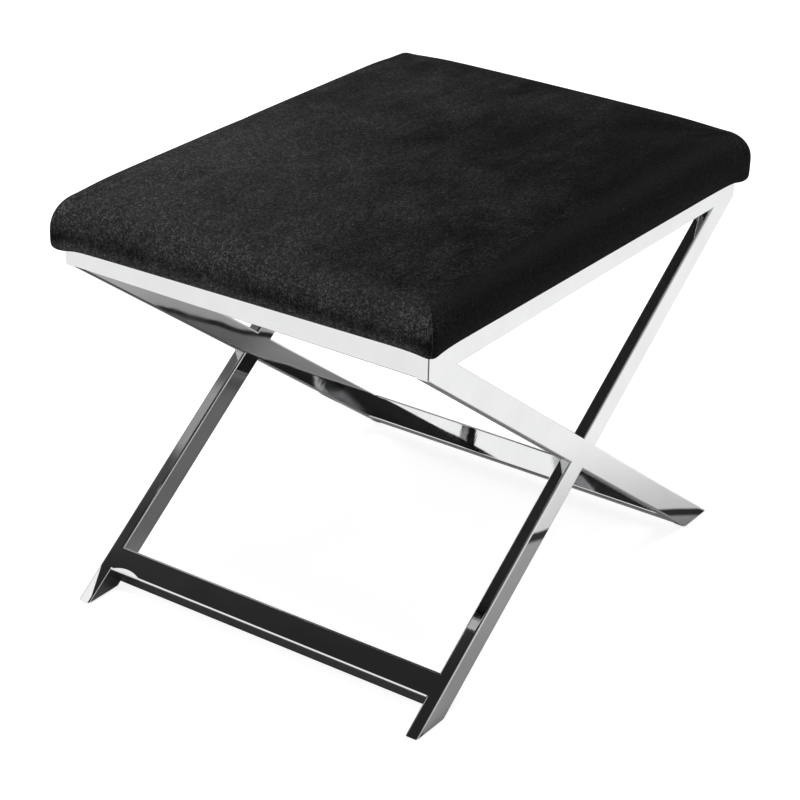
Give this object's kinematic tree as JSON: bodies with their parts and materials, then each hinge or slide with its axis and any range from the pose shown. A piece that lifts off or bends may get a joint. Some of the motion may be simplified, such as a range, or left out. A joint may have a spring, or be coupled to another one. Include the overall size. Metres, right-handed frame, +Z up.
{
  "type": "stool",
  "caption": "Backless stool with X-shaped side frames of polished rectangular steel tube, cross rails, low stretchers and a thin velvet-upholstered rectangular seat.",
  "frame": {"origin": "on the floor, under the middle of the stool", "axes": "+X to the right across the short side, +Y to the back along the X-shaped side frames, +Z up"},
  "size_m": [0.472, 0.622, 0.48],
  "materials": {
    "polished_steel": "mirror-polished",
    "bare_steel": "ground",
    "zinc_steel": "bright zinc plate",
    "staple_steel": "drawn wire",
    "glide_nylon": "moulded",
    "plywood": "raw",
    "foam": "open cell",
    "wadding": "lofted fibre",
    "velvet": "short pile",
    "dust_cloth": "non-woven"
  },
  "bodies": {
    "root": {"left_side_rail": "polished_steel", "left_through_leg": "polished_steel", "left_upper_half_leg": "polished_steel", "left_lower_half_leg": "polished_steel", "right_side_rail": "polished_steel", "right_through_leg": "polished_steel", "right_upper_half_leg": "polished_steel", "right_lower_half_leg": "polished_steel", "front_rail": "polished_steel", "front_stretcher": "polished_steel", "rear_rail": "polished_steel", "rear_stretcher": "polished_steel", "front_left_foot_plate": "bare_steel", "front_left_glide": "glide_nylon", "front_left_seat_gusset": "bare_steel", "front_right_foot_plate": "bare_steel", "front_right_glide": "glide_nylon", "front_right_seat_gusset": "bare_steel", "rear_left_foot_plate": "bare_steel", "rear_left_glide": "glide_nylon", "rear_left_seat_gusset": "bare_steel", "rear_right_foot_plate": "bare_steel", "rear_right_glide": "glide_nylon", "rear_right_seat_gusset": "bare_steel", "seat_bolts": "zinc_steel", "spring_washers": "zinc_steel", "flat_washers": "zinc_steel", "tee_nuts": "zinc_steel", "cover_staples": "staple_steel", "dust_cover_staples": "staple_steel", "seat_board": "plywood", "foam_pad": "foam", "fibre_wrap": "wadding", "velvet_cover": "velvet", "dust_cover": "dust_cloth"}
  },
  "joints": []
}
